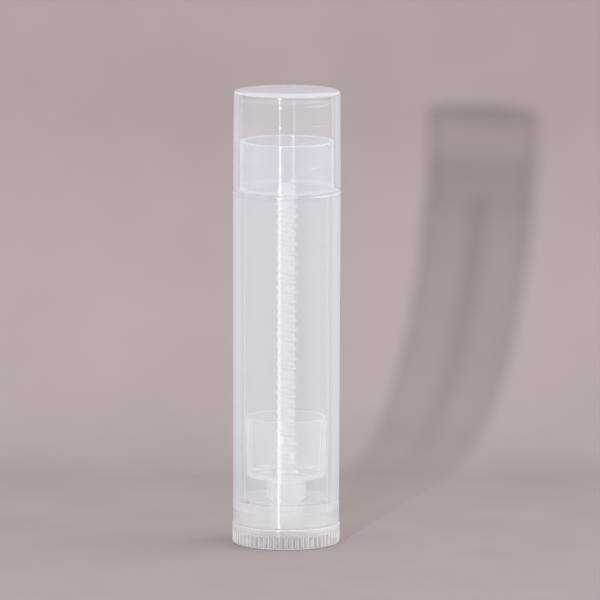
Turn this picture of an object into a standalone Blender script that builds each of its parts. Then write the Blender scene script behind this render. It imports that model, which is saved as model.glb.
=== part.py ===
"""Lip balm tube, empty, with its cap on.

Four mouldings stand on one axis, which is +Z, with the origin under the middle of the dial:
the dial with its threaded spindle, the barrel, the cup that the spindle lifts, and the cap.
All lengths are in metres. Radii are built up from the bore outwards and heights from the
table upwards, so each piece is placed by what carries it and by a named clearance.
"""

import math

import bmesh
import bpy
from mathutils import Matrix

# Barrel: a straight tube with a thinner neck, a floor near its foot and guide ribs in its bore
BORE_RADIUS = 0.00630
NECK_WALL = 0.00067
NECK_LENGTH = 0.00745
NECK_ROUND = 0.00022
SNAP_BEAD_HEIGHT = 0.00100
SNAP_BEAD_RISE = 0.00005
BODY_LENGTH = 0.04975
SHOULDER_BEAD_HEIGHT = 0.00055
SHOULDER_BEAD_RISE = 0.00008
BARREL_DRAFT = 0.00010
FLOOR_THICKNESS = 0.00130
SKIRT_HEIGHT = 0.00195
SKIRT_WALL = 0.00090
GUIDE_COUNT = 4
GUIDE_WIDTH = 0.00070
GUIDE_DEPTH = 0.00030
GUIDE_ANGLE = math.radians(8.0)

# Cap: pushed over the neck, flush with the shoulder
CAP_WALL = 0.00090
CAP_TOP = 0.00130
CAP_HEADROOM = 0.00620
CAP_DRAFT = 0.00010
CAP_CORNER = 0.00060
CAP_FILLET = 0.00060
CAP_CROWN = 0.00010
CAP_MOUTH_ROUND = 0.00015

# Dial: a ribbed wheel under the barrel, hollow below
DIAL_HEIGHT = 0.00305
DIAL_WEB = 0.00085
DIAL_WALL = 0.00100
DIAL_PROUD = 0.00002
DIAL_LIP_HEIGHT = 0.00095
DIAL_CORNER = 0.00045
DIAL_TOP_ROUND = 0.00015
RIB_COUNT = 60
RIB_DEPTH = 0.00025

# Spindle: one moulding with the dial, snapped up through the barrel's floor
ROD_ROOT_RADIUS = 0.00130
THREAD_RISE = 0.00030
THREAD_PITCH = 0.00143
STEM_STEP = 0.00083
COLLAR_SNAP = 0.00050
COLLAR_HEIGHT = 0.00290
COLLAR_ROUND = 0.00110
TIP_DEPTH = 0.00600
TIP_LENGTH = 0.00070

# Cup: carries the balm, runs on the spindle's thread and is kept from turning by the guides
CUP_HEIGHT = 0.00895
CUP_WALL = 0.00070
CUP_LIP_HEIGHT = 0.00110
CUP_LIP_WALL = 0.00045
CUP_FLOOR = 0.00080
CUP_DRAFT = 0.00028
CUP_FOOT_ROUND = 0.00030
HUB_WALL = 0.00071
HUB_HEIGHT = 0.00650
FIN_COUNT = 4
FIN_THICKNESS = 0.00050
FIN_HEIGHT = 0.00250
FIN_ANGLE = math.radians(37.0)
RIDGE_DEPTH = 0.00035
RIDGE_THICKNESS = 0.00040

# Clearances between neighbours
CAP_CLEARANCE = 0.00008
SEAM_GAP = 0.00020
DIAL_GAP = 0.00020
STEM_CLEARANCE = 0.00017
COLLAR_GAP = 0.00020
CUP_GAP = 0.00040
BORE_CLEARANCE = 0.00016
GUIDE_CLEARANCE = 0.00018
THREAD_CLEARANCE = 0.00012

# How far a rib or a cutter runs on into the wall that it joins or cuts
OVERRUN = 0.00020

# Facets round the axis, and steps of a rounded corner
ROUND_STEPS = 48
STEM_STEPS = 24
THREAD_STEPS = 16
ARC_STEPS = 3
SHARP_ANGLE = math.radians(35.0)

# The outline of one turn of thread: the place along the pitch and the part of the full rise there
THREAD_OUTLINE_SHARES = ((0.00, 0.0), (0.28, 1.0), (0.42, 1.0), (0.70, 0.0))

CREST_PLACE_SHARE = 0.35

# The part of a pitch over which the ridge runs out at either end of a thread
RUN_OUT_SHARE = 0.5

# Radii, from the axis outwards
ROD_CREST_RADIUS = ROD_ROOT_RADIUS + THREAD_RISE
HUB_RADIUS = ROD_CREST_RADIUS + THREAD_CLEARANCE + HUB_WALL
STEM_RADIUS = ROD_CREST_RADIUS + STEM_STEP
COLLAR_RADIUS = STEM_RADIUS + COLLAR_SNAP
HOLE_RADIUS = STEM_RADIUS + STEM_CLEARANCE
CUP_RIM_RADIUS = BORE_RADIUS - BORE_CLEARANCE
CUP_FOOT_RADIUS = CUP_RIM_RADIUS - CUP_DRAFT
NECK_RADIUS = BORE_RADIUS + NECK_WALL
CAP_BORE_RADIUS = NECK_RADIUS + SNAP_BEAD_RISE + CAP_CLEARANCE
CAP_RADIUS = CAP_BORE_RADIUS + CAP_WALL
BARREL_FOOT_RADIUS = CAP_RADIUS - BARREL_DRAFT
SKIRT_BORE_RADIUS = BARREL_FOOT_RADIUS - SKIRT_WALL
DIAL_RADIUS = CAP_RADIUS + DIAL_PROUD
DIAL_BORE_RADIUS = DIAL_RADIUS - DIAL_WALL

# Heights, from the table upwards
BARREL_FOOT = DIAL_HEIGHT + DIAL_GAP
FLOOR_UNDERSIDE = BARREL_FOOT + SKIRT_HEIGHT
FLOOR_TOP = FLOOR_UNDERSIDE + FLOOR_THICKNESS
SHOULDER = BARREL_FOOT + BODY_LENGTH
NECK_TOP = SHOULDER + NECK_LENGTH
COLLAR_FOOT = FLOOR_TOP + COLLAR_GAP
COLLAR_TOP = COLLAR_FOOT + COLLAR_HEIGHT
SPINDLE_TIP = NECK_TOP - TIP_DEPTH
CUP_FOOT = COLLAR_TOP + CUP_GAP
CUP_RIM = CUP_FOOT + CUP_HEIGHT
CUP_FLOOR_TOP = CUP_FOOT + CUP_FLOOR
HUB_TOP = CUP_FOOT + HUB_HEIGHT
CAP_MOUTH = SHOULDER + SEAM_GAP
CAP_CEILING = NECK_TOP + CAP_HEADROOM
CAP_SUMMIT = CAP_CEILING + CAP_TOP


def clear_scene():
    for thing in list(bpy.data.objects):
        bpy.data.objects.remove(thing, do_unlink=True)


def plastic(name, colour, roughness):
    """A Principled material for one moulding."""
    material = bpy.data.materials.new(name)
    material.use_nodes = True
    shader = material.node_tree.nodes["Principled BSDF"]
    shader.inputs["Base Color"].default_value = (*colour, 1.0)
    shader.inputs["Roughness"].default_value = roughness
    shader.inputs["Metallic"].default_value = 0.0
    material.diffuse_color = (*colour, 1.0)
    return material


def arc(middle_radius, middle_height, size, start, end):
    """Points (radius, height) of a rounded corner, between two angles in degrees."""
    points = []
    for step in range(ARC_STEPS + 1):
        angle = math.radians(start + (end - start) * step / ARC_STEPS)
        points.append((middle_radius + size * math.cos(angle), middle_height + size * math.sin(angle)))
    return points


def ring(mesh, radius, height, steps=ROUND_STEPS, groove=0.0):
    """The vertices of one ring round the axis, with every second one set in by the groove."""
    if radius == 0:
        return [mesh.verts.new((0, 0, height))]
    verts = []
    for step in range(steps):
        angle = 2 * math.pi * step / steps
        reach = radius - groove * (step % 2)
        verts.append(mesh.verts.new((reach * math.cos(angle), reach * math.sin(angle), height)))
    return verts


def join_rings(mesh, low, high):
    """Faces between two rings, which may hold different numbers of vertices.

    A ring on the axis is a single vertex, and two of those need no face between them.
    """
    here, there = 0, 0
    while here < len(low) or there < len(high):
        both = len(low) == len(high)
        low_vert, high_vert = low[here % len(low)], high[there % len(high)]
        forward_low = (here + 1) * len(high) <= (there + 1) * len(low)
        here += both or forward_low
        there += both or not forward_low
        corners = [low_vert, low[here % len(low)], high[there % len(high)], high_vert]
        corners = list(dict.fromkeys(corners))
        if len(corners) > 2:
            mesh.faces.new(corners)


def join_all(mesh, rings):
    """Faces along a list of rings."""
    for low, high in zip(rings, rings[1:]):
        join_rings(mesh, low, high)


def rings_of(mesh, outline, steps=ROUND_STEPS):
    """One ring for each (radius, height) of an outline."""
    return [ring(mesh, radius, height, steps) for radius, height in outline]


def thread(mesh, start, end, end_share, clearance=0.0):
    """The threaded stretch of the rod, or of the hub's bore round it, from start to end.

    The thread is left-handed: its ridge climbs clockwise as seen from above. Rod and bore both
    count their turns from the origin's height, so the hub's ridge lies in the rod's groove. At
    its two ends the outline runs out to one radius: the rod's root, for an end share of 0, or
    the bore's widest, for 1. The clearance widens the outline all round. Returns the lowest and
    the highest ring.
    """
    root = ROD_ROOT_RADIUS + clearance
    low = ring(mesh, root + THREAD_RISE * end_share, start, THREAD_STEPS)
    high = ring(mesh, root + THREAD_RISE * end_share, end, THREAD_STEPS)
    run_out = THREAD_PITCH * RUN_OUT_SHARE
    turns = range(math.floor(start / THREAD_PITCH) - 1, math.ceil(end / THREAD_PITCH) + 1)
    columns = []
    for step in range(THREAD_STEPS):
        spot = -step % THREAD_STEPS
        angle = 2 * math.pi * spot / THREAD_STEPS
        column = []
        for turn in turns:
            for place, rise in THREAD_OUTLINE_SHARES:
                spread = clearance if place > CREST_PLACE_SHARE else -clearance
                height = (turn + place + step / THREAD_STEPS) * THREAD_PITCH + spread
                if height <= start:
                    column.append(low[spot])
                elif height >= end:
                    column.append(high[spot])
                else:
                    fade = min(1, (height - start) / run_out, (end - height) / run_out)
                    reach = root + THREAD_RISE * (end_share + (rise - end_share) * fade)
                    point = (reach * math.cos(angle), reach * math.sin(angle), height)
                    column.append(mesh.verts.new(point))
        columns.append(column)
    columns.append(columns[0][len(THREAD_OUTLINE_SHARES):])
    for here, there in zip(columns, columns[1:]):
        for corners in zip(here, here[1:], there[1:], there):
            corners = list(dict.fromkeys(corners))
            if len(corners) > 2:
                mesh.faces.new(corners)
    return low, high


def make_piece(name, mesh, material):
    """Turn a bmesh into a smooth-shaded object whose faces point outwards."""
    bmesh.ops.triangulate(mesh, faces=mesh.faces)
    bmesh.ops.recalc_face_normals(mesh, faces=mesh.faces)
    data = bpy.data.meshes.new(name)
    mesh.to_mesh(data)
    mesh.free()
    data.materials.append(material)
    data.shade_smooth()
    data.set_sharp_from_angle(angle=SHARP_ANGLE)
    piece = bpy.data.objects.new(name, data)
    bpy.context.collection.objects.link(piece)
    return piece


def radial_blocks(name, count, first_angle, inner, outer, low, high, width):
    """Upright blocks standing out from the axis, for ribs to add or slots to cut.

    The first block's angle is measured from the front, which is -Y, towards +X.
    """
    mesh = bmesh.new()
    size = Matrix.Diagonal((outer - inner, width, high - low, 1))
    place = Matrix.Translation(((inner + outer) / 2, 0, (low + high) / 2))
    for number in range(count):
        angle = first_angle + 2 * math.pi * number / count - math.pi / 2
        bmesh.ops.create_cube(mesh, size=1, matrix=Matrix.Rotation(angle, 4, "Z") @ place @ size)
    data = bpy.data.meshes.new(name)
    mesh.to_mesh(data)
    mesh.free()
    blocks = bpy.data.objects.new(name, data)
    blocks.hide_render = True
    blocks.display_type = "WIRE"
    bpy.context.collection.objects.link(blocks)
    return blocks


def combine(piece, blocks, operation):
    """Add the blocks to a piece, or cut them out of it."""
    modifier = piece.modifiers.new(blocks.name, "BOOLEAN")
    modifier.operation = operation
    modifier.solver = "EXACT"
    modifier.object = blocks


def make_barrel():
    neck_round = min(NECK_ROUND, NECK_WALL / 2)
    bead_middle = SHOULDER + NECK_LENGTH / 2
    mesh = bmesh.new()
    outline = [
        (SKIRT_BORE_RADIUS, BARREL_FOOT),
        (BARREL_FOOT_RADIUS, BARREL_FOOT),
        (CAP_RADIUS, SHOULDER - SHOULDER_BEAD_HEIGHT),
        (CAP_RADIUS + SHOULDER_BEAD_RISE, SHOULDER - SHOULDER_BEAD_HEIGHT / 2),
        (CAP_RADIUS, SHOULDER),
        (NECK_RADIUS, SHOULDER),
        (NECK_RADIUS, bead_middle - SNAP_BEAD_HEIGHT / 2),
        (NECK_RADIUS + SNAP_BEAD_RISE, bead_middle),
        (NECK_RADIUS, bead_middle + SNAP_BEAD_HEIGHT / 2),
    ]
    outline += arc(NECK_RADIUS - neck_round, NECK_TOP - neck_round, neck_round, 0, 90)
    outline += [
        (BORE_RADIUS, NECK_TOP),
        (BORE_RADIUS, FLOOR_TOP),
        (HOLE_RADIUS, FLOOR_TOP),
        (HOLE_RADIUS, FLOOR_UNDERSIDE),
        (SKIRT_BORE_RADIUS, FLOOR_UNDERSIDE),
    ]
    rings = rings_of(mesh, outline)
    join_all(mesh, rings + rings[:1])
    barrel = make_piece("barrel", mesh, plastic("natural_barrel", (0.80, 0.79, 0.82), 0.35))
    guides = radial_blocks("barrel_guides", GUIDE_COUNT, -GUIDE_ANGLE, BORE_RADIUS - GUIDE_DEPTH,
                           BORE_RADIUS + OVERRUN, FLOOR_TOP - OVERRUN, SHOULDER, GUIDE_WIDTH)
    combine(barrel, guides, "UNION")
    return barrel


def make_cap():
    corner = min(CAP_CORNER, CAP_TOP)
    fillet = min(CAP_FILLET, CAP_HEADROOM)
    mouth_round = min(CAP_MOUTH_ROUND, CAP_WALL / 2)
    top_radius = CAP_RADIUS - CAP_DRAFT
    mesh = bmesh.new()
    outline = [(CAP_RADIUS - mouth_round, CAP_MOUTH), (CAP_RADIUS, CAP_MOUTH + mouth_round)]
    outline += arc(top_radius - corner, CAP_SUMMIT - CAP_CROWN - corner, corner, 0, 90)
    outline += [(0, CAP_SUMMIT), (0, CAP_CEILING)]
    outline += arc(CAP_BORE_RADIUS - fillet, CAP_CEILING - fillet, fillet, 90, 0)
    outline += [(CAP_BORE_RADIUS, CAP_MOUTH)]
    rings = rings_of(mesh, outline)
    join_all(mesh, rings + rings[:1])
    return make_piece("cap", mesh, plastic("clear_cap", (0.78, 0.77, 0.79), 0.15))


def make_cup():
    foot_round = min(CUP_FOOT_ROUND, CUP_FLOOR)
    inner_foot = CUP_FOOT_RADIUS - CUP_WALL
    inner_rim = CUP_RIM_RADIUS - CUP_WALL
    lip_foot = CUP_RIM - CUP_LIP_HEIGHT
    mesh = bmesh.new()
    outline = arc(CUP_FOOT_RADIUS - foot_round, CUP_FOOT + foot_round, foot_round, -90, 0)
    outline += [
        (CUP_RIM_RADIUS, CUP_RIM),
        (CUP_RIM_RADIUS - CUP_LIP_WALL, CUP_RIM),
        (CUP_RIM_RADIUS - CUP_LIP_WALL, lip_foot),
        (inner_rim, lip_foot),
        (inner_foot, CUP_FLOOR_TOP),
        (HUB_RADIUS, CUP_FLOOR_TOP),
        (HUB_RADIUS, HUB_TOP),
    ]
    bore_foot, bore_top = thread(mesh, CUP_FOOT, HUB_TOP, 1, THREAD_CLEARANCE)
    join_all(mesh, [bore_foot] + rings_of(mesh, outline) + [bore_top])
    cup = make_piece("elevator_cup", mesh, plastic("natural_cup", (0.84, 0.83, 0.85), 0.40))

    webs = radial_blocks("cup_webs", FIN_COUNT, FIN_ANGLE, HUB_RADIUS - OVERRUN, inner_foot + OVERRUN,
                         CUP_FLOOR_TOP - OVERRUN, CUP_FLOOR_TOP + FIN_HEIGHT, FIN_THICKNESS)
    ridges = radial_blocks("cup_wall_ridges", FIN_COUNT, FIN_ANGLE, inner_foot - RIDGE_DEPTH,
                           inner_rim + OVERRUN, CUP_FLOOR_TOP + FIN_HEIGHT / 2, lip_foot - OVERRUN,
                           RIDGE_THICKNESS)
    slots = radial_blocks("cup_guide_slots", GUIDE_COUNT, -GUIDE_ANGLE,
                          BORE_RADIUS - GUIDE_DEPTH - GUIDE_CLEARANCE, CUP_RIM_RADIUS + OVERRUN,
                          CUP_FOOT - OVERRUN, CUP_RIM + OVERRUN, GUIDE_WIDTH + 2 * GUIDE_CLEARANCE)
    combine(cup, webs, "UNION")
    combine(cup, ridges, "UNION")
    combine(cup, slots, "DIFFERENCE")
    return cup


def make_dial_and_spindle():
    """The ribbed dial, the stem and collar that hold it in the floor, and the threaded rod."""
    rib_steps = 2 * RIB_COUNT
    corner = min(DIAL_CORNER, DIAL_WALL / 2)
    top_round = min(DIAL_TOP_ROUND, DIAL_LIP_HEIGHT / 2)
    lip_foot = DIAL_HEIGHT - DIAL_LIP_HEIGHT
    web_underside = DIAL_HEIGHT - DIAL_WEB
    mesh = bmesh.new()
    hollow = rings_of(mesh, [(0, web_underside), (DIAL_BORE_RADIUS, web_underside), (DIAL_BORE_RADIUS, 0)])
    skirt = []
    for number, (radius, height) in enumerate(arc(DIAL_RADIUS - corner, corner, corner, -90, 0)):
        skirt.append(ring(mesh, radius, height, rib_steps, RIB_DEPTH * number / ARC_STEPS))
    skirt.append(ring(mesh, DIAL_RADIUS, lip_foot - RIB_DEPTH, rib_steps, RIB_DEPTH))
    skirt.append(ring(mesh, DIAL_RADIUS, lip_foot, rib_steps))
    skirt.append(ring(mesh, DIAL_RADIUS, DIAL_HEIGHT - top_round, rib_steps))
    skirt.append(ring(mesh, DIAL_RADIUS - top_round, DIAL_HEIGHT, rib_steps))

    collar_round = min(COLLAR_ROUND, COLLAR_RADIUS - ROD_CREST_RADIUS, COLLAR_HEIGHT)
    outline = [(STEM_RADIUS, DIAL_HEIGHT), (STEM_RADIUS, COLLAR_FOOT), (COLLAR_RADIUS, COLLAR_FOOT)]
    outline += arc(COLLAR_RADIUS - collar_round, COLLAR_TOP - collar_round, collar_round, 0, 90)
    stem = rings_of(mesh, outline, STEM_STEPS)

    rod_foot, rod_top = thread(mesh, COLLAR_TOP, SPINDLE_TIP - TIP_LENGTH, 0)
    tip = []
    for step in range(1, ARC_STEPS):
        angle = math.radians(90 * step / ARC_STEPS)
        height = SPINDLE_TIP - TIP_LENGTH * (1 - math.sin(angle))
        tip.append(ring(mesh, ROD_ROOT_RADIUS * math.cos(angle), height, THREAD_STEPS))
    tip.append(ring(mesh, 0, SPINDLE_TIP))
    join_all(mesh, hollow + skirt + stem + [rod_foot])
    join_all(mesh, [rod_top] + tip)
    return make_piece("dial_and_spindle", mesh, plastic("natural_spindle", (0.83, 0.82, 0.84), 0.35))


def main():
    clear_scene()
    make_barrel()
    make_cap()
    make_cup()
    make_dial_and_spindle()


main()
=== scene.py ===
"""The looks of the lip balm tube: four milky, see-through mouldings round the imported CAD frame."""

from collections import namedtuple
import math

import bmesh
import bpy
from mathutils import Matrix, Vector


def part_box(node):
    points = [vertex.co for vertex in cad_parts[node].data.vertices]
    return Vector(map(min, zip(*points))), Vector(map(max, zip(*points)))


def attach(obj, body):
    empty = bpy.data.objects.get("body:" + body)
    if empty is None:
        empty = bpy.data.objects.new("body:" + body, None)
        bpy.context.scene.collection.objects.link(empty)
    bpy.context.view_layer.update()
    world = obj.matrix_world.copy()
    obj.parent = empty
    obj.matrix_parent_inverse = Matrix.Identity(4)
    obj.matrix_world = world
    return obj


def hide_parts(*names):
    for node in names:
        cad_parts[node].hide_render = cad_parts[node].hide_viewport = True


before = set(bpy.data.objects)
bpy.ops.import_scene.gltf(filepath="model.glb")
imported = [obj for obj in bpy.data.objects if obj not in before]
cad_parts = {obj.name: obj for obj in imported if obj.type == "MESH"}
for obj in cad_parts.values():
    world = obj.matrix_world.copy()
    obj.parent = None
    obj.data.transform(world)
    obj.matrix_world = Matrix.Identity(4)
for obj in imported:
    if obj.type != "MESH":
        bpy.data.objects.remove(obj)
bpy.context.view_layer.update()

# Places read from the frame, in metres
CAP_BOX, BARREL_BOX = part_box("cap"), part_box("barrel")
CUP_BOX, SPINDLE_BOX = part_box("elevator_cup"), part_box("dial_and_spindle")
CAP_MOUTH, CAP_SUMMIT = CAP_BOX[0][2], CAP_BOX[1][2]
BARREL_FOOT, NECK_TOP = BARREL_BOX[0][2], BARREL_BOX[1][2]
CUP_FOOT, CUP_RIM = CUP_BOX[0][2], CUP_BOX[1][2]
SPINDLE_TIP = SPINDLE_BOX[1][2]
CAP_RADIUS = CAP_BOX[1][0]
DIAL_RADIUS = SPINDLE_BOX[1][0]
CUP_RIM_RADIUS = CUP_BOX[1][0]

# Barrel
BORE_RADIUS = 0.00630
NECK_RADIUS = 0.00697
NECK_LENGTH = 0.00745
NECK_ROUND = 0.00022
SNAP_BEAD_HEIGHT = 0.00100
SNAP_BEAD_RISE = 0.00005
SHOULDER_BEAD_HEIGHT = 0.00055
SHOULDER_BEAD_RISE = 0.00008
BARREL_DRAFT = 0.00010
FLOOR_THICKNESS = 0.00130
SKIRT_HEIGHT = 0.00195
SKIRT_WALL = 0.00090
HOLE_RADIUS = 0.00260
GUIDE_COUNT = 4
GUIDE_WIDTH = 0.00070
GUIDE_DEPTH = 0.00030
GUIDE_ANGLE = math.radians(8.0)
GUIDE_FLANK_SHARE = 0.35

# Cap
CAP_BORE_RADIUS = 0.00710
CAP_TOP = 0.00130
CAP_DRAFT = 0.00010
CAP_CORNER = 0.00060
CAP_FILLET = 0.00060
CAP_CROWN = 0.00010
CAP_STEP_DROP = 0.00330
CAP_STEP_RISE = 0.00004

# Dial, stem and collar
DIAL_HEIGHT = 0.00305
DIAL_WEB = 0.00085
DIAL_WALL = 0.00100
DIAL_LIP_HEIGHT = 0.00095
DIAL_CORNER = 0.00045
RIB_COUNT = 60
RIB_DEPTH = 0.00025
STEM_RADIUS = 0.00243
COLLAR_RADIUS = 0.00293
COLLAR_GAP = 0.00020
COLLAR_HEIGHT = 0.00290
COLLAR_ROUND = 0.00130

# Threads. The shares are of one pitch, and the last place is where the root begins.
ROD_ROOT_RADIUS = 0.00130
THREAD_RISE = 0.00030
THREAD_PITCH = 0.00143
THREAD_CLEARANCE = 0.00012
TIP_LENGTH = 0.00070
FLANK_SHARE = 0.28
CREST_SHARE = 0.14
CREST_MIDDLE_SHARE = 0.35
THREAD_SHARES = (0.0, 0.06, 0.12, 0.18, 0.24, 0.30, CREST_MIDDLE_SHARE, 0.40, 0.46, 0.52, 0.58, 0.64, 0.70)

# Cup
CUP_WALL = 0.00070
CUP_LIP_HEIGHT = 0.00110
CUP_LIP_WALL = 0.00045
CUP_FLOOR = 0.00080
CUP_DRAFT = 0.00028
HUB_RADIUS = 0.00243
HUB_HEIGHT = 0.00650
FIN_COUNT = 4
FIN_THICKNESS = 0.00050
FIN_HEIGHT = 0.00250
FIN_ANGLE = math.radians(37.0)
RIDGE_DEPTH = 0.00035
RIDGE_THICKNESS = 0.00040
GUIDE_CLEARANCE = 0.00018
OVERRUN = 0.00020

# Facets and small roundings of moulded edges
EDGE = 0.00012
CORNER_SHARE = 0.49
NO_RADIUS = 1e-9
ROUND_STEPS = 360
STEM_STEPS = 96
THREAD_STEPS = 72
RIB_STEPS = 10
ARC_STEPS = 5
CROWN_STEPS = 16
CROWN_POWER = 4
SHARP_ANGLE = math.radians(40.0)

# Camera, as the photograph was taken
CAMERA_PLACE = (0.0, -1.266, 0.223)
CAMERA_AIM = (0.0020, 0.0, 0.03652)
CAMERA_ROLL = math.radians(0.16)
LENS = 515.8
SENSOR = 36.0
CLIP_START = 0.01
CLIP_END = 20.0

# Bounces, for many thin walls behind each other
TRANSPARENT_BOUNCES = 48
DIFFUSE_BOUNCES = 12
ALL_BOUNCES = 16

# Lamp
KEY_AIM = (0.0, 0.0, 0.03)
KEY_AZIMUTH = math.radians(-16.0)
KEY_ELEVATION = math.radians(9.5)
KEY_DISTANCE = 1.8
KEY_SIZE = 0.05
KEY_POWER = 19.5

# Sky: its strength at the horizon and overhead, and its gain at both sides, more on the right, and behind
AMBIENT = 0.19
ZENITH = 1.20
SIDES = 1.90
LEAN = 1.60
BEHIND = 1.00
SKY_POWER = 4.0

# Paper backdrop
SWEEP_START = 0.060
SWEEP_RADIUS = 0.050
SWEEP_HEIGHT = 0.0845
SWEEP_HALF_WIDTH = 0.16
FLOOR_REACH = 3.0
SWEEP_STEPS = 24
PAPER_DARK = (0.345, 0.291, 0.294, 1)
PAPER_LIGHT = (0.395, 0.336, 0.339, 1)
PAPER_CLOUD_SCALE = 60.0
PAPER_CLOUD_DETAIL = 2.0

# Milk, the colour of the plastic's body
BLUISH = (0.883, 0.935, 0.999, 1)
WHITE = (0.955, 0.957, 0.958, 1)
PALE = (0.915, 0.925, 0.960, 1)
COOL = (0.945, 0.943, 0.957, 1)
WARM = (0.992, 0.976, 0.965, 1)
UNTINTED = (1, 1, 1, 1)

# How plastic lets light through. The widths and the offset are steps of facing, from 0 to 1.
LIES_FROM = 0.5
SLANT_DEPTH = 0.40
CLOUD_SCALE = 180.0
CLOUD_DETAIL = 3.0
CLOUD_ROUGHNESS = 0.6
CLOUD_DEPTH = 0.10
GUIDED_WIDTH = 0.16
LINE_OFFSET = 0.015
LINE_HALF_WIDTH = 0.025
LINE_SHARE = 0.70
ROD_THINNED = 0.75
RIBS_SOFTENED = 0.50
RIB_CONTRAST = 0.70
RIB_SIDE_CONTRAST = 0.60
DIAL_FORWARD_LOSS = 0.17

# Gloss, drawn out along the axis, with sparkles on the edges and more of it at a slant
DRAWN_SCALE = (90.0, 90.0, 2600.0)
DRAWN_DETAIL = 4.0
DRAWN_STRENGTH = 0.10
DRAWN_DEPTH = 0.00002
LEVEL_ROUGHNESS = 0.07
SPARKLE_ROUGHNESS = 0.12
SPARKLE_SHARE = 0.20
EDGE_SPARKLE_SHARE = 0.60
EDGE_FROM = 0.05
EDGE_WIDTH = 0.05
EDGE_SHINE = 0.08
MIRROR_POWER = 5.0
SLANT_SHINE = 0.25
INSIDE_SHINE = 0.50

# Radii between a wall's inside and its outside, and one past every face
SHELL_MIDDLE = 0.0076
BARREL_MIDDLE = 0.0075
NECK_MIDDLE = 0.0067
CUP_MIDDLE = 0.0057
PAST_ALL = 0.0100

# Heights of the thin lines along the dial's foot and the cap's mouth
RIM_LINE = 0.00026
MOUTH_LINE = 0.00018

SHOULDER = NECK_TOP - NECK_LENGTH
FLOOR_UNDERSIDE = BARREL_FOOT + SKIRT_HEIGHT
FLOOR_TOP = FLOOR_UNDERSIDE + FLOOR_THICKNESS
COLLAR_TOP = FLOOR_TOP + COLLAR_GAP + COLLAR_HEIGHT
THREAD_REACH = ROD_ROOT_RADIUS + THREAD_RISE + EDGE


def smooth(share):
    """An even ease from 0 to 1."""
    return share * share * (3 - 2 * share)


def rounded(corners):
    """The points (radius, height) of an outline whose inner corners (radius, height, size) are rounded."""
    points = []
    for number, (radius, height, size) in enumerate(corners):
        middle = Vector((radius, height))
        if size == 0 or not 0 < number < len(corners) - 1:
            points.append((radius, height))
            continue
        before = Vector(corners[number - 1][:2]) - middle
        after = Vector(corners[number + 1][:2]) - middle
        reach = min(size, before.length * CORNER_SHARE, after.length * CORNER_SHARE)
        first = middle + before.normalized() * reach
        last = middle + after.normalized() * reach
        for step in range(ARC_STEPS + 1):
            share = step / ARC_STEPS
            point = first * (1 - share) ** 2 + middle * 2 * share * (1 - share) + last * share ** 2
            points.append((point.x, point.y))
    return points


def ring(mesh, radius, height, steps=ROUND_STEPS, inset=None):
    """The vertices of one ring round the axis. The inset is a depth for each angle."""
    if radius < NO_RADIUS:
        return [mesh.verts.new((0, 0, height))]
    verts = []
    for step in range(steps):
        angle = 2 * math.pi * step / steps
        reach = radius - (inset(angle) if inset else 0)
        verts.append(mesh.verts.new((reach * math.cos(angle), reach * math.sin(angle), height)))
    return verts


def join_rings(mesh, low, high):
    """Faces between two rings, which may hold different numbers of vertices."""
    here, there = 0, 0
    while here < len(low) or there < len(high):
        both = len(low) == len(high)
        low_vert, high_vert = low[here % len(low)], high[there % len(high)]
        forward_low = (here + 1) * len(high) <= (there + 1) * len(low)
        here += both or forward_low
        there += both or not forward_low
        corners = [low_vert, low[here % len(low)], high[there % len(high)], high_vert]
        corners = list(dict.fromkeys(corners))
        if len(corners) > 2:
            mesh.faces.new(corners)


def join_all(mesh, rings):
    """Faces from each ring to the next."""
    for low, high in zip(rings, rings[1:]):
        join_rings(mesh, low, high)


def rings_of(mesh, outline, steps=ROUND_STEPS, inset=None):
    """A ring for each point (radius, height) of an outline."""
    return [ring(mesh, radius, height, steps, inset) for radius, height in outline]


def thread_rise(place):
    """The ridge's height at a place along one pitch, from 0 to 1, with a rounded crest."""
    run_down = 2 * FLANK_SHARE + CREST_SHARE - place
    return smooth(max(min(place / FLANK_SHARE, 1, run_down / FLANK_SHARE), 0))


def thread(mesh, start, end, end_share, clearance=0.0):
    """A left-handed thread round the axis, and its lowest and highest rings."""
    root = ROD_ROOT_RADIUS + clearance
    low = ring(mesh, root + THREAD_RISE * end_share, start, THREAD_STEPS)
    high = ring(mesh, root + THREAD_RISE * end_share, end, THREAD_STEPS)
    run_out = THREAD_PITCH / 2
    turns = range(math.floor(start / THREAD_PITCH) - 1, math.ceil(end / THREAD_PITCH) + 1)
    columns = []
    for step in range(THREAD_STEPS):
        spot = -step % THREAD_STEPS
        angle = 2 * math.pi * spot / THREAD_STEPS
        column = []
        for turn in turns:
            for place in THREAD_SHARES:
                spread = clearance * ((place > CREST_MIDDLE_SHARE) - (place < CREST_MIDDLE_SHARE))
                height = (turn + place + step / THREAD_STEPS) * THREAD_PITCH + spread
                if height <= start:
                    column.append(low[spot])
                elif height >= end:
                    column.append(high[spot])
                else:
                    fade = min(1, (height - start) / run_out, (end - height) / run_out)
                    reach = root + THREAD_RISE * (end_share + (thread_rise(place) - end_share) * fade)
                    column.append(mesh.verts.new((reach * math.cos(angle), reach * math.sin(angle), height)))
        columns.append(column)
    columns.append(columns[0][len(THREAD_SHARES):])
    for here, there in zip(columns, columns[1:]):
        for corners in zip(here, here[1:], there[1:], there):
            corners = list(dict.fromkeys(corners))
            if len(corners) > 2:
                mesh.faces.new(corners)
    return low, high


def guides_round(count, first_angle, width, depth, radius):
    """A depth for each angle, for upright ribs with soft edges round a bore."""
    half = width / 2 / radius
    turn = 2 * math.pi / count

    def inset(angle):
        away = (angle + math.pi / 2 - first_angle + turn / 2) % turn - turn / 2
        return depth * smooth(min(max((half - abs(away)) / (half * GUIDE_FLANK_SHARE), 0), 1))

    return inset


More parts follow.
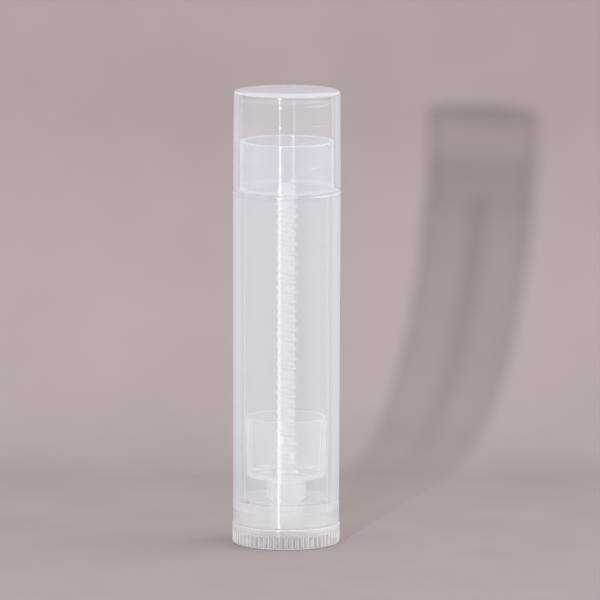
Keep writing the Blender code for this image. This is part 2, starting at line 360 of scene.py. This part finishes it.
def make_piece(name, mesh):
    """A smooth object with hard edges where the mesh bends sharply."""
    bmesh.ops.recalc_face_normals(mesh, faces=mesh.faces)
    data = bpy.data.meshes.new(name)
    mesh.to_mesh(data)
    mesh.free()
    data.shade_smooth()
    data.set_sharp_from_angle(angle=SHARP_ANGLE)
    piece = bpy.data.objects.new(name, data)
    bpy.context.collection.objects.link(piece)
    return piece


def radial_blocks(name, count, first_angle, inner, outer, low, high, width):
    """Upright blocks that stand out from the axis, to add or to cut."""
    mesh = bmesh.new()
    size = Matrix.Diagonal((outer - inner, width, high - low, 1))
    place = Matrix.Translation(((inner + outer) / 2, 0, (low + high) / 2))
    for number in range(count):
        angle = first_angle + 2 * math.pi * number / count - math.pi / 2
        bmesh.ops.create_cube(mesh, size=1, matrix=Matrix.Rotation(angle, 4, "Z") @ place @ size)
    data = bpy.data.meshes.new(name)
    mesh.to_mesh(data)
    mesh.free()
    blocks = bpy.data.objects.new(name, data)
    bpy.context.collection.objects.link(blocks)
    return blocks


def combine(piece, blocks, operation):
    """Apply a Boolean with the blocks and drop them."""
    modifier = piece.modifiers.new(blocks.name, "BOOLEAN")
    modifier.operation = operation
    modifier.solver = "EXACT"
    modifier.object = blocks
    bpy.context.view_layer.update()
    graph = bpy.context.evaluated_depsgraph_get()
    data = bpy.data.meshes.new_from_object(piece.evaluated_get(graph))
    piece.modifiers.clear()
    piece.data = data
    data.shade_smooth()
    data.set_sharp_from_angle(angle=SHARP_ANGLE)
    bpy.data.objects.remove(blocks, do_unlink=True)


def make_barrel():
    mesh = bmesh.new()
    foot_radius = CAP_RADIUS - BARREL_DRAFT
    skirt_bore = foot_radius - SKIRT_WALL
    bead_middle = SHOULDER + NECK_LENGTH / 2
    outside = rounded([
        (skirt_bore, FLOOR_UNDERSIDE, 0),
        (skirt_bore, BARREL_FOOT, EDGE),
        (foot_radius, BARREL_FOOT, EDGE),
        (CAP_RADIUS, SHOULDER - SHOULDER_BEAD_HEIGHT, EDGE),
        (CAP_RADIUS + SHOULDER_BEAD_RISE, SHOULDER - SHOULDER_BEAD_HEIGHT / 2, EDGE),
        (CAP_RADIUS, SHOULDER, EDGE),
        (NECK_RADIUS, SHOULDER, EDGE),
        (NECK_RADIUS, bead_middle - SNAP_BEAD_HEIGHT / 2, EDGE),
        (NECK_RADIUS + SNAP_BEAD_RISE, bead_middle, EDGE),
        (NECK_RADIUS, bead_middle + SNAP_BEAD_HEIGHT / 2, EDGE),
        (NECK_RADIUS, NECK_TOP, NECK_ROUND),
        (BORE_RADIUS, NECK_TOP, NECK_ROUND),
        (BORE_RADIUS, SHOULDER + GUIDE_DEPTH, 0),
    ])
    guides = guides_round(GUIDE_COUNT, -GUIDE_ANGLE, GUIDE_WIDTH, GUIDE_DEPTH, BORE_RADIUS)
    bore = rings_of(mesh, [(BORE_RADIUS, SHOULDER), (BORE_RADIUS, FLOOR_TOP + EDGE),
                           (BORE_RADIUS - EDGE, FLOOR_TOP)], inset=guides)
    floor = rounded([
        (BORE_RADIUS - GUIDE_DEPTH - EDGE * 2, FLOOR_TOP, 0),
        (HOLE_RADIUS, FLOOR_TOP, EDGE),
        (HOLE_RADIUS, FLOOR_UNDERSIDE, EDGE),
        (skirt_bore, FLOOR_UNDERSIDE, 0),
    ])[:-1]
    rings = rings_of(mesh, outside) + bore + rings_of(mesh, floor)
    join_all(mesh, rings + rings[:1])
    return make_piece("barrel_shell", mesh)


def make_cap():
    mesh = bmesh.new()
    top_radius = CAP_RADIUS - CAP_DRAFT
    ceiling = CAP_SUMMIT - CAP_TOP
    step_place = CAP_SUMMIT - CAP_CROWN - CAP_STEP_DROP - CAP_TOP
    edge = top_radius - CAP_CORNER
    crown = []
    for number in range(CROWN_STEPS + 1):
        share = 1 - number / CROWN_STEPS
        crown.append((edge * share, CAP_SUMMIT - CAP_CROWN * share ** CROWN_POWER))
    outside = rounded([
        (CAP_BORE_RADIUS, CAP_MOUTH, 0),
        (CAP_RADIUS, CAP_MOUTH, EDGE),
        (top_radius, CAP_SUMMIT - CAP_CROWN, CAP_CORNER),
        (*crown[0], 0),
    ])[:-1] + crown
    inside = rounded([
        (0, ceiling, 0),
        (CAP_BORE_RADIUS - CAP_STEP_RISE, ceiling, CAP_FILLET),
        (CAP_BORE_RADIUS - CAP_STEP_RISE, step_place, EDGE),
        (CAP_BORE_RADIUS, step_place - CAP_STEP_RISE * 2, EDGE),
        (CAP_BORE_RADIUS, CAP_MOUTH + EDGE, 0),
    ])
    rings = rings_of(mesh, outside) + rings_of(mesh, inside)
    join_all(mesh, rings + rings[:1])
    return make_piece("cap_shell", mesh)


def make_cup():
    mesh = bmesh.new()
    foot_radius = CUP_RIM_RADIUS - CUP_DRAFT
    inner_foot = foot_radius - CUP_WALL
    inner_rim = CUP_RIM_RADIUS - CUP_WALL
    floor_top = CUP_FOOT + CUP_FLOOR
    lip_foot = CUP_RIM - CUP_LIP_HEIGHT
    hub_top = CUP_FOOT + HUB_HEIGHT
    bore_edge = ROD_ROOT_RADIUS + THREAD_CLEARANCE + THREAD_RISE
    outline = rounded([
        (bore_edge + EDGE, CUP_FOOT, 0),
        (foot_radius, CUP_FOOT, EDGE * 3),
        (CUP_RIM_RADIUS, CUP_RIM, EDGE),
        (CUP_RIM_RADIUS - CUP_LIP_WALL, CUP_RIM, EDGE),
        (CUP_RIM_RADIUS - CUP_LIP_WALL, lip_foot, EDGE),
        (inner_rim, lip_foot, EDGE),
        (inner_foot, floor_top, EDGE * 2),
        (HUB_RADIUS, floor_top, EDGE),
        (HUB_RADIUS, hub_top, EDGE),
        (bore_edge + EDGE, hub_top, 0),
    ])
    bore_foot, bore_top = thread(mesh, CUP_FOOT, hub_top, 1, THREAD_CLEARANCE)
    join_all(mesh, [bore_foot] + rings_of(mesh, outline) + [bore_top])
    cup = make_piece("cup_shell", mesh)
    webs = radial_blocks("webs", FIN_COUNT, FIN_ANGLE, HUB_RADIUS - OVERRUN, inner_foot + OVERRUN,
                         floor_top - OVERRUN, floor_top + FIN_HEIGHT, FIN_THICKNESS)
    ridges = radial_blocks("ridges", FIN_COUNT, FIN_ANGLE, inner_foot - RIDGE_DEPTH,
                           inner_rim + OVERRUN, floor_top + FIN_HEIGHT / 2, lip_foot - OVERRUN,
                           RIDGE_THICKNESS)
    slots = radial_blocks("slots", GUIDE_COUNT, -GUIDE_ANGLE, BORE_RADIUS - GUIDE_DEPTH - GUIDE_CLEARANCE,
                          CUP_RIM_RADIUS + OVERRUN, CUP_FOOT - OVERRUN, CUP_RIM + OVERRUN,
                          GUIDE_WIDTH + 2 * GUIDE_CLEARANCE)
    combine(cup, webs, "UNION")
    combine(cup, ridges, "UNION")
    combine(cup, slots, "DIFFERENCE")
    return cup


def make_spindle():
    mesh = bmesh.new()
    lip_foot = DIAL_HEIGHT - DIAL_LIP_HEIGHT
    bore = DIAL_RADIUS - DIAL_WALL
    hollow = rings_of(mesh, rounded([
        (0, DIAL_HEIGHT - DIAL_WEB, 0),
        (bore, DIAL_HEIGHT - DIAL_WEB, EDGE * 2),
        (bore, 0, EDGE),
        (bore + EDGE * 2, 0, 0),
    ]))

    def ribs(depth):
        return lambda angle: depth * (0.5 - 0.5 * math.cos(RIB_COUNT * angle))

    rib_steps = RIB_COUNT * RIB_STEPS
    skirt = []
    corner_steps = ARC_STEPS + 1
    for number in range(corner_steps + 1):
        turn = math.pi / 2 * number / corner_steps
        radius = DIAL_RADIUS - DIAL_CORNER * (1 - math.sin(turn))
        height = DIAL_CORNER * (1 - math.cos(turn))
        skirt.append(ring(mesh, radius, height, rib_steps, ribs(RIB_DEPTH * number / corner_steps)))
    for number in range(ARC_STEPS + 1):
        share = number / ARC_STEPS
        depth = RIB_DEPTH * (1 - smooth(share))
        skirt.append(ring(mesh, DIAL_RADIUS, lip_foot - RIB_DEPTH * (1 - share), rib_steps, ribs(depth)))
    lip = rings_of(mesh, rounded([
        (DIAL_RADIUS, lip_foot, 0),
        (DIAL_RADIUS, DIAL_HEIGHT, EDGE),
        (STEM_RADIUS + EDGE, DIAL_HEIGHT, 0),
    ])[1:])
    stem = rings_of(mesh, rounded([
        (STEM_RADIUS + EDGE, DIAL_HEIGHT, 0),
        (STEM_RADIUS, DIAL_HEIGHT + EDGE, 0),
        (STEM_RADIUS, FLOOR_TOP + COLLAR_GAP, EDGE),
        (COLLAR_RADIUS, FLOOR_TOP + COLLAR_GAP, EDGE),
        (COLLAR_RADIUS, COLLAR_TOP, COLLAR_ROUND),
        (ROD_ROOT_RADIUS + EDGE * 2, COLLAR_TOP, 0),
    ])[1:], STEM_STEPS)
    rod_foot, rod_top = thread(mesh, COLLAR_TOP, SPINDLE_TIP - TIP_LENGTH, 0)
    tip = []
    for step in range(1, ARC_STEPS + 1):
        angle = math.pi / 2 * step / (ARC_STEPS + 1)
        height = SPINDLE_TIP - TIP_LENGTH * (1 - math.sin(angle))
        tip.append(ring(mesh, ROD_ROOT_RADIUS * math.cos(angle), height, THREAD_STEPS))
    tip.append(ring(mesh, 0, SPINDLE_TIP))
    join_all(mesh, hollow + skirt + lip + stem + [rod_foot])
    join_all(mesh, [rod_top] + tip)
    return make_piece("dial_spindle_moulding", mesh)


class Nodes:
    """A short way to write the node tree of a material or a world."""

    def __init__(self, owner, output="OutputMaterial"):
        owner.use_nodes = True
        self.owner = owner
        self.tree = owner.node_tree
        self.tree.nodes.clear()
        self.output = self.add(output)

    def add(self, kind, values=(), **settings):
        node = self.tree.nodes.new("ShaderNode" + kind)
        for key, value in settings.items():
            setattr(node, key, value)
        for socket, value in dict(values).items():
            if isinstance(value, bpy.types.NodeSocket):
                self.tree.links.new(value, node.inputs[socket])
            else:
                node.inputs[socket].default_value = value
        return node

    def math(self, operation, *values, clamp=False):
        return self.add("Math", dict(enumerate(values)), operation=operation, use_clamp=clamp).outputs[0]

    def product(self, first, *others):
        for other in others:
            first = self.math("MULTIPLY", first, other)
        return first

    def scaled(self, value, factor, offset=0.0):
        return self.math("MULTIPLY_ADD", value, factor, offset)

    def rest(self, value):
        """What the value leaves of 1."""
        return self.math("SUBTRACT", 1.0, value)

    def over(self, value, limit):
        return self.math("GREATER_THAN", value, limit)

    def under(self, value, limit):
        return self.math("LESS_THAN", value, limit)

    def climb(self, value, start, width):
        """From 0 at the start to 1 past the width."""
        return self.math("DIVIDE", self.math("SUBTRACT", value, start), width, clamp=True)

    def vector(self, operation, values, output=0):
        return self.add("VectorMath", values, operation=operation).outputs[output]

    def shader(self, kind, **values):
        return self.add("Bsdf" + kind, values).outputs[0]

    def mix(self, share, first, second):
        return self.add("MixShader", {0: share, 1: first, 2: second}).outputs[0]

    def finish(self, shader):
        self.tree.links.new(shader, self.output.inputs["Surface"])
        return self.owner


# What holds from one height up: an upright face's clear share, the radius past which a face is
# outside, the slant from which the wall guides light along inside it, and how much is guided
Section = namedtuple("Section", "start clear outer slant guided", defaults=(PAST_ALL, 1, 0))

# The clear share of faces that lie flat, from one height up
Flat = namedtuple("Flat", "start clear")


class Plastic(Nodes):
    """Moulded natural plastic.

    A ray that crosses one face keeps the clear share of what is behind it, and the milky body
    scatters the rest to all sides. A wall lies thicker at a slant. Where it guides light along
    inside it, little of what is behind it shows. Soft is for the spindle: its rod is thinner at
    a slant, its dial thicker in the ribs, and both are lit as if they were smoother.
    """

    def __init__(self, name, sections, soft=False):
        super().__init__(bpy.data.materials.new(name))
        self.soft = soft
        self.place = self.add("TexCoord").outputs["Object"]
        self.height = self.add("SeparateXYZ", {"Vector": self.place}).outputs["Z"]
        across = self.vector("MULTIPLY", {0: self.place, 1: (1, 1, 0)})
        self.radius = self.vector("LENGTH", {0: across}, "Value")
        self.shape = self.add("NewGeometry").outputs
        self.normal = {"Normal": self.soft_normal(across)} if soft else {}
        self.facing = self.add("LayerWeight", {"Blend": 0.5, **self.normal}).outputs["Facing"]
        self.read_sections(sections)
        self.outside = self.over(self.radius, self.outer)
        upward = self.add("SeparateXYZ", {"Vector": self.shape["Normal"]}).outputs["Z"]
        tilt = self.math("ABSOLUTE", upward)
        self.lies = self.off_the_rod(self.over(tilt, LIES_FROM))
        rounded_over = self.product(self.climb(tilt, EDGE_FROM, EDGE_WIDTH), self.rest(self.lies))
        self.edge = self.off_the_rod(rounded_over)
        self.tangent = self.add("Tangent", direction_type="RADIAL", axis="Z").outputs[0]

    def soft_normal(self, across):
        """The normal, turned straight out on the rod and the dial's foot, and partly on its ribs."""
        side = self.scaled(self.shape["Backfacing"], -2.0, 1.0)
        outward = self.vector("SCALE", {0: self.vector("NORMALIZE", {0: across}), "Scale": side})
        ribs = self.product(self.under(self.height, DIAL_HEIGHT - DIAL_LIP_HEIGHT),
                            self.over(self.radius, DIAL_RADIUS - RIB_DEPTH - DIAL_CORNER), RIBS_SOFTENED)
        share = self.math("MAXIMUM", self.under(self.radius, THREAD_REACH), ribs)
        share = self.math("MAXIMUM", share, self.under(self.height, RIM_LINE))
        ends = {0: share, 4: self.shape["Normal"], 5: outward}
        return self.add("Mix", ends, data_type="VECTOR").outputs[1]

    def off_the_rod(self, value):
        """The value, but nothing on the rod, whose thread would break it up."""
        return self.product(value, self.over(self.radius, THREAD_REACH)) if self.soft else value

    def read_sections(self, sections):
        """Look up this height's values in a ramp whose colours hold them."""
        ramp = self.add("ValToRGB", {"Fac": self.math("DIVIDE", self.height, CAP_SUMMIT)})
        ramp.color_ramp.interpolation = "CONSTANT"
        stops = ramp.color_ramp.elements
        while len(stops) < len(sections):
            stops.new(1.0)
        for stop, section in zip(stops, sections):
            stop.position = section.start / CAP_SUMMIT
            stop.color = (section.clear, section.slant, section.outer / PAST_ALL, section.guided)
        held = self.add("SeparateColor", {"Color": ramp.outputs["Color"]}).outputs
        self.clear, self.slant, self.guided = held["Red"], held["Green"], ramp.outputs["Alpha"]
        self.outer = self.product(held["Blue"], PAST_ALL)

    def seen(self, flat):
        """The share that shows of what is behind a face."""
        slanted = self.math("DIVIDE", 1.0, self.scaled(self.facing, -SLANT_DEPTH, 1.0))
        path = self.math("MAXIMUM", self.product(slanted, self.outside), 1.0)
        beyond = self.product(self.climb(self.facing, self.slant, GUIDED_WIDTH), self.outside)
        if self.soft:
            thin = self.product(self.facing, self.under(self.radius, THREAD_REACH), ROD_THINNED)
            rib = self.climb(self.radius, DIAL_RADIUS - RIB_DEPTH, RIB_DEPTH)
            contrast = self.scaled(self.facing, RIB_SIDE_CONTRAST, RIB_CONTRAST)
            thick = self.product(self.math("SUBTRACT", rib, 0.5), contrast)
            ribbed = self.scaled(thick, self.under(self.height, DIAL_HEIGHT), 1.0)
            path = self.product(self.math("SUBTRACT", path, thin), ribbed)
            beyond = self.product(beyond, ribbed)
        cloud = self.add("TexNoise", {"Vector": self.place, "Scale": CLOUD_SCALE, "Detail": CLOUD_DETAIL,
                                      "Roughness": CLOUD_ROUGHNESS}).outputs["Fac"]
        density = self.product(path, self.scaled(cloud, CLOUD_DEPTH, 1.0 - CLOUD_DEPTH / 2))

        lying = flat[0].clear
        for below, level in zip(flat, flat[1:]):
            lying = self.scaled(self.over(self.height, level.start), level.clear - below.clear, lying)
        standing = self.product(self.rest(self.lies), self.clear)
        clear = self.math("ADD", standing, self.product(self.lies, lying))

        away = self.math("SUBTRACT", self.math("SUBTRACT", self.facing, self.slant), LINE_OFFSET)
        line = self.math("DIVIDE", self.math("ABSOLUTE", away), LINE_HALF_WIDTH)
        line = self.math("SUBTRACT", 1.0, line, clamp=True)
        line = self.product(line, self.outside, self.guided, LINE_SHARE)
        return self.product(self.math("POWER", clear, density), self.rest(self.product(beyond, self.guided)),
                            self.rest(line))

    def body(self, milk, forward, across):
        """Milk that scatters light back and on, and a share of it to both sides round the axis."""
        kinds = ("Diffuse", "Translucent")
        if self.soft:
            forward = self.scaled(self.under(self.height, DIAL_HEIGHT), -DIAL_FORWARD_LOSS, forward)
        body = self.mix(forward, *[self.shader(kind, Color=milk, **self.normal) for kind in kinds])
        if across:
            sides = (self.tangent, self.vector("SCALE", {0: self.tangent, "Scale": -1.0}))
            lobes = [self.mix(0.5, *[self.shader(kind, Color=milk, Normal=side) for side in sides])
                     for kind in kinds]
            body = self.mix(across, body, self.add("AddShader", dict(enumerate(lobes))).outputs[0])
        return body

    def gloss(self, roughness, anisotropy):
        """A highlight drawn out along the axis, with a sharper one on rounded edges and on flat faces."""
        stretch = self.add("Mapping", {"Vector": self.place, "Scale": DRAWN_SCALE}).outputs[0]
        lines = self.add("TexNoise", {"Vector": stretch, "Scale": 1.0, "Detail": DRAWN_DETAIL}).outputs["Fac"]
        bump = self.add("Bump", {"Height": lines, "Strength": DRAWN_STRENGTH,
                                 "Distance": DRAWN_DEPTH}).outputs[0]
        drawn = self.shader("Anisotropic", Color=UNTINTED, Roughness=roughness, Anisotropy=anisotropy,
                            Normal=bump, Tangent=self.tangent)
        sparkle = self.shader("Anisotropic", Color=UNTINTED, Roughness=SPARKLE_ROUGHNESS)
        level = self.shader("Anisotropic", Color=UNTINTED, Roughness=LEVEL_ROUGHNESS)
        upright = self.mix(self.scaled(self.edge, EDGE_SPARKLE_SHARE, SPARKLE_SHARE), drawn, sparkle)
        return self.mix(self.lies, upright, level)

    def mirror(self, shine, polish):
        """The share of the gloss, more at a slant, on flat faces and on edges and less inside a wall."""
        slanted = self.product(self.math("POWER", self.facing, MIRROR_POWER),
                               self.scaled(self.lies, polish, SLANT_SHINE))
        share = self.math("ADD", slanted, self.scaled(self.edge, EDGE_SHINE, shine))
        return self.product(share, self.scaled(self.outside, 1.0 - INSIDE_SHINE, INSIDE_SHINE))


def plastic(name, milk, sections, flat, shine, roughness, anisotropy=0.9, forward=0.5, across=0.0,
            polish=0.12, lower=None, soft=False):
    """One piece's plastic. The pair lower is a height and the milk below it."""
    n = Plastic(name, sections, soft)
    if lower:
        height, milk_below = lower
        milk = n.add("MixRGB", {"Fac": n.under(n.height, height), "Color1": milk,
                                "Color2": milk_below}).outputs[0]
    through = n.shader("Transparent", Color=UNTINTED)
    inside = n.mix(n.seen(flat), n.body(milk, forward, across), through)
    return n.finish(n.mix(n.mirror(shine, polish), inside, n.gloss(roughness, anisotropy)))


def cap_plastic():
    return plastic("clear_cap", BLUISH, sections=(
        Section(0, clear=0.74),
        Section(CAP_MOUTH + MOUTH_LINE, clear=0.900, outer=SHELL_MIDDLE, slant=0.46, guided=0.28),
    ), flat=(
        Flat(0, clear=0.80),
        Flat(CAP_MOUTH + EDGE, clear=0.88),
        Flat(CAP_SUMMIT - CAP_CORNER, clear=0.52),
    ), shine=0.015, roughness=0.26, polish=0.55)


def barrel_plastic():
    return plastic("natural_barrel", BLUISH, sections=(
        Section(0, clear=0.69, outer=SHELL_MIDDLE, slant=0.50, guided=0.12),
        Section(FLOOR_UNDERSIDE - EDGE, clear=0.58, outer=BARREL_MIDDLE, slant=0.384, guided=0.20),
        Section(FLOOR_TOP + EDGE, clear=0.82, outer=BARREL_MIDDLE, slant=0.384, guided=0.34),
        Section(SHOULDER - EDGE, clear=0.89, outer=NECK_MIDDLE, slant=0.572, guided=0.40),
    ), flat=(
        Flat(0, clear=0.95),
        Flat(BARREL_FOOT + EDGE, clear=0.70),
        Flat(SHOULDER - EDGE, clear=0.92),
        Flat(NECK_TOP - EDGE, clear=0.55),
    ), shine=0.034, roughness=0.32, anisotropy=0.87, lower=(FLOOR_TOP + EDGE, PALE))


def cup_plastic():
    return plastic("natural_cup", WHITE, sections=(
        Section(0, clear=0.52, outer=CUP_MIDDLE),
        Section(CUP_FOOT + CUP_FLOOR, clear=0.92, outer=CUP_MIDDLE, slant=0.45, guided=0.42),
    ), flat=(Flat(0, clear=0.82),), shine=0.01, roughness=0.35)


def spindle_plastic():
    return plastic("natural_spindle", WARM, sections=(
        Section(0, clear=0.12),
        Section(RIM_LINE, clear=0.79, outer=BARREL_MIDDLE, slant=0.06, guided=0.46),
        Section(DIAL_HEIGHT - DIAL_LIP_HEIGHT, clear=0.62, outer=BARREL_MIDDLE),
        Section(DIAL_HEIGHT + EDGE, clear=0.36),
        Section(FLOOR_UNDERSIDE, clear=0.55),
        Section(COLLAR_TOP, clear=0.50),
    ), flat=(
        Flat(0, clear=0.55),
        Flat(DIAL_HEIGHT - EDGE, clear=0.35),
    ), shine=0.02, roughness=0.35, forward=0.25, across=0.20, lower=(DIAL_HEIGHT, COOL), soft=True)


def paper():
    """Plain matt paper, seen only from its upper side."""
    n = Nodes(bpy.data.materials.new("backdrop_paper"))
    place = n.add("TexCoord").outputs["Object"]
    cloud = n.add("TexNoise", {"Vector": place, "Scale": PAPER_CLOUD_SCALE,
                               "Detail": PAPER_CLOUD_DETAIL}).outputs["Fac"]
    ramp = n.add("ValToRGB", {"Fac": cloud})
    for stop, colour in zip(ramp.color_ramp.elements, (PAPER_DARK, PAPER_LIGHT)):
        stop.color = colour
    behind = n.add("NewGeometry").outputs["Backfacing"]
    return n.finish(n.mix(behind, n.shader("Diffuse", Color=ramp.outputs[0]), n.shader("Transparent")))


def make_stage():
    """A wide floor and a sheet of paper that curves up behind the object."""
    mesh = bmesh.new()
    line = []
    for step in range(SWEEP_STEPS + 1):
        angle = math.pi / 2 * step / SWEEP_STEPS
        line.append((SWEEP_START + SWEEP_RADIUS * math.sin(angle), SWEEP_RADIUS * (1 - math.cos(angle))))
    line.append((SWEEP_START + SWEEP_RADIUS, SWEEP_HEIGHT))
    left, right = [[mesh.verts.new((side * SWEEP_HALF_WIDTH, y, z)) for y, z in line] for side in (-1, 1)]
    for corners in zip(left, right, right[1:], left[1:]):
        mesh.faces.new(corners)
    floor = [(-1, -1), (1, -1), (1, 1), (-1, 1)]
    mesh.faces.new([mesh.verts.new((x * FLOOR_REACH, y * FLOOR_REACH, 0)) for x, y in floor])
    data = bpy.data.meshes.new("backdrop")
    mesh.to_mesh(data)
    mesh.free()
    data.shade_smooth()
    data.materials.append(paper())
    sweep = bpy.data.objects.new("backdrop", data)
    bpy.context.collection.objects.link(sweep)


def make_sky():
    """An even, bright studio round the object, with its light from above the horizon only."""
    world = bpy.data.worlds.new("studio")
    bpy.context.scene.world = world
    n = Nodes(world, "OutputWorld")
    direction = n.add("TexCoord").outputs["Generated"]
    across, along, upward = n.add("SeparateXYZ", {0: direction}).outputs
    overhead = n.scaled(upward, ZENITH - AMBIENT, AMBIENT)
    sides = n.product(n.math("POWER", n.math("ABSOLUTE", across), SKY_POWER), n.scaled(across, LEAN, SIDES))
    behind = n.product(n.math("POWER", n.math("MAXIMUM", along, 0.0), SKY_POWER), BEHIND)
    strength = n.math("ADD", overhead, n.math("ADD", sides, behind))
    strength = n.product(strength, n.over(upward, 0.0))
    n.finish(n.add("Background", {"Color": UNTINTED, "Strength": strength}).outputs[0])


def make_lamp():
    """One small lamp beside the camera."""
    lamp = bpy.data.lights.new("key", "AREA")
    lamp.shape = "DISK"
    lamp.size = KEY_SIZE
    lamp.energy = KEY_POWER
    key = bpy.data.objects.new("key", lamp)
    bpy.context.collection.objects.link(key)
    back = Vector((math.sin(KEY_AZIMUTH) * math.cos(KEY_ELEVATION),
                   -math.cos(KEY_AZIMUTH) * math.cos(KEY_ELEVATION), math.sin(KEY_ELEVATION)))
    key.location = Vector(KEY_AIM) + back * KEY_DISTANCE
    key.rotation_euler = (-back).to_track_quat("-Z", "Y").to_euler()


def make_camera():
    data = bpy.data.cameras.new("camera")
    data.lens = LENS
    data.sensor_width = SENSOR
    data.clip_start, data.clip_end = CLIP_START, CLIP_END
    camera = bpy.data.objects.new("camera", data)
    bpy.context.collection.objects.link(camera)
    camera.location = CAMERA_PLACE
    look = Vector(CAMERA_AIM) - Vector(CAMERA_PLACE)
    turn = look.to_track_quat("-Z", "Y").to_matrix() @ Matrix.Rotation(CAMERA_ROLL, 3, "Z")
    camera.rotation_euler = turn.to_euler()
    bpy.context.scene.camera = camera


def dress(piece, material, node, body):
    """Give a piece its material, hang it on its body's empty and hide the CAD part it stands for."""
    piece.data.materials.clear()
    piece.data.materials.append(material)
    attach(piece, body)
    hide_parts(node)


def main():
    bpy.context.scene.view_settings.view_transform = "Standard"
    cycles = bpy.context.scene.cycles
    cycles.transparent_max_bounces = TRANSPARENT_BOUNCES
    cycles.diffuse_bounces = DIFFUSE_BOUNCES
    cycles.max_bounces = ALL_BOUNCES
    make_stage()
    make_sky()
    make_lamp()
    make_camera()
    dress(make_cap(), cap_plastic(), "cap", "cap")
    dress(make_barrel(), barrel_plastic(), "barrel", "barrel")
    dress(make_cup(), cup_plastic(), "elevator_cup", "elevator")
    dress(make_spindle(), spindle_plastic(), "dial_and_spindle", "dial")


main()
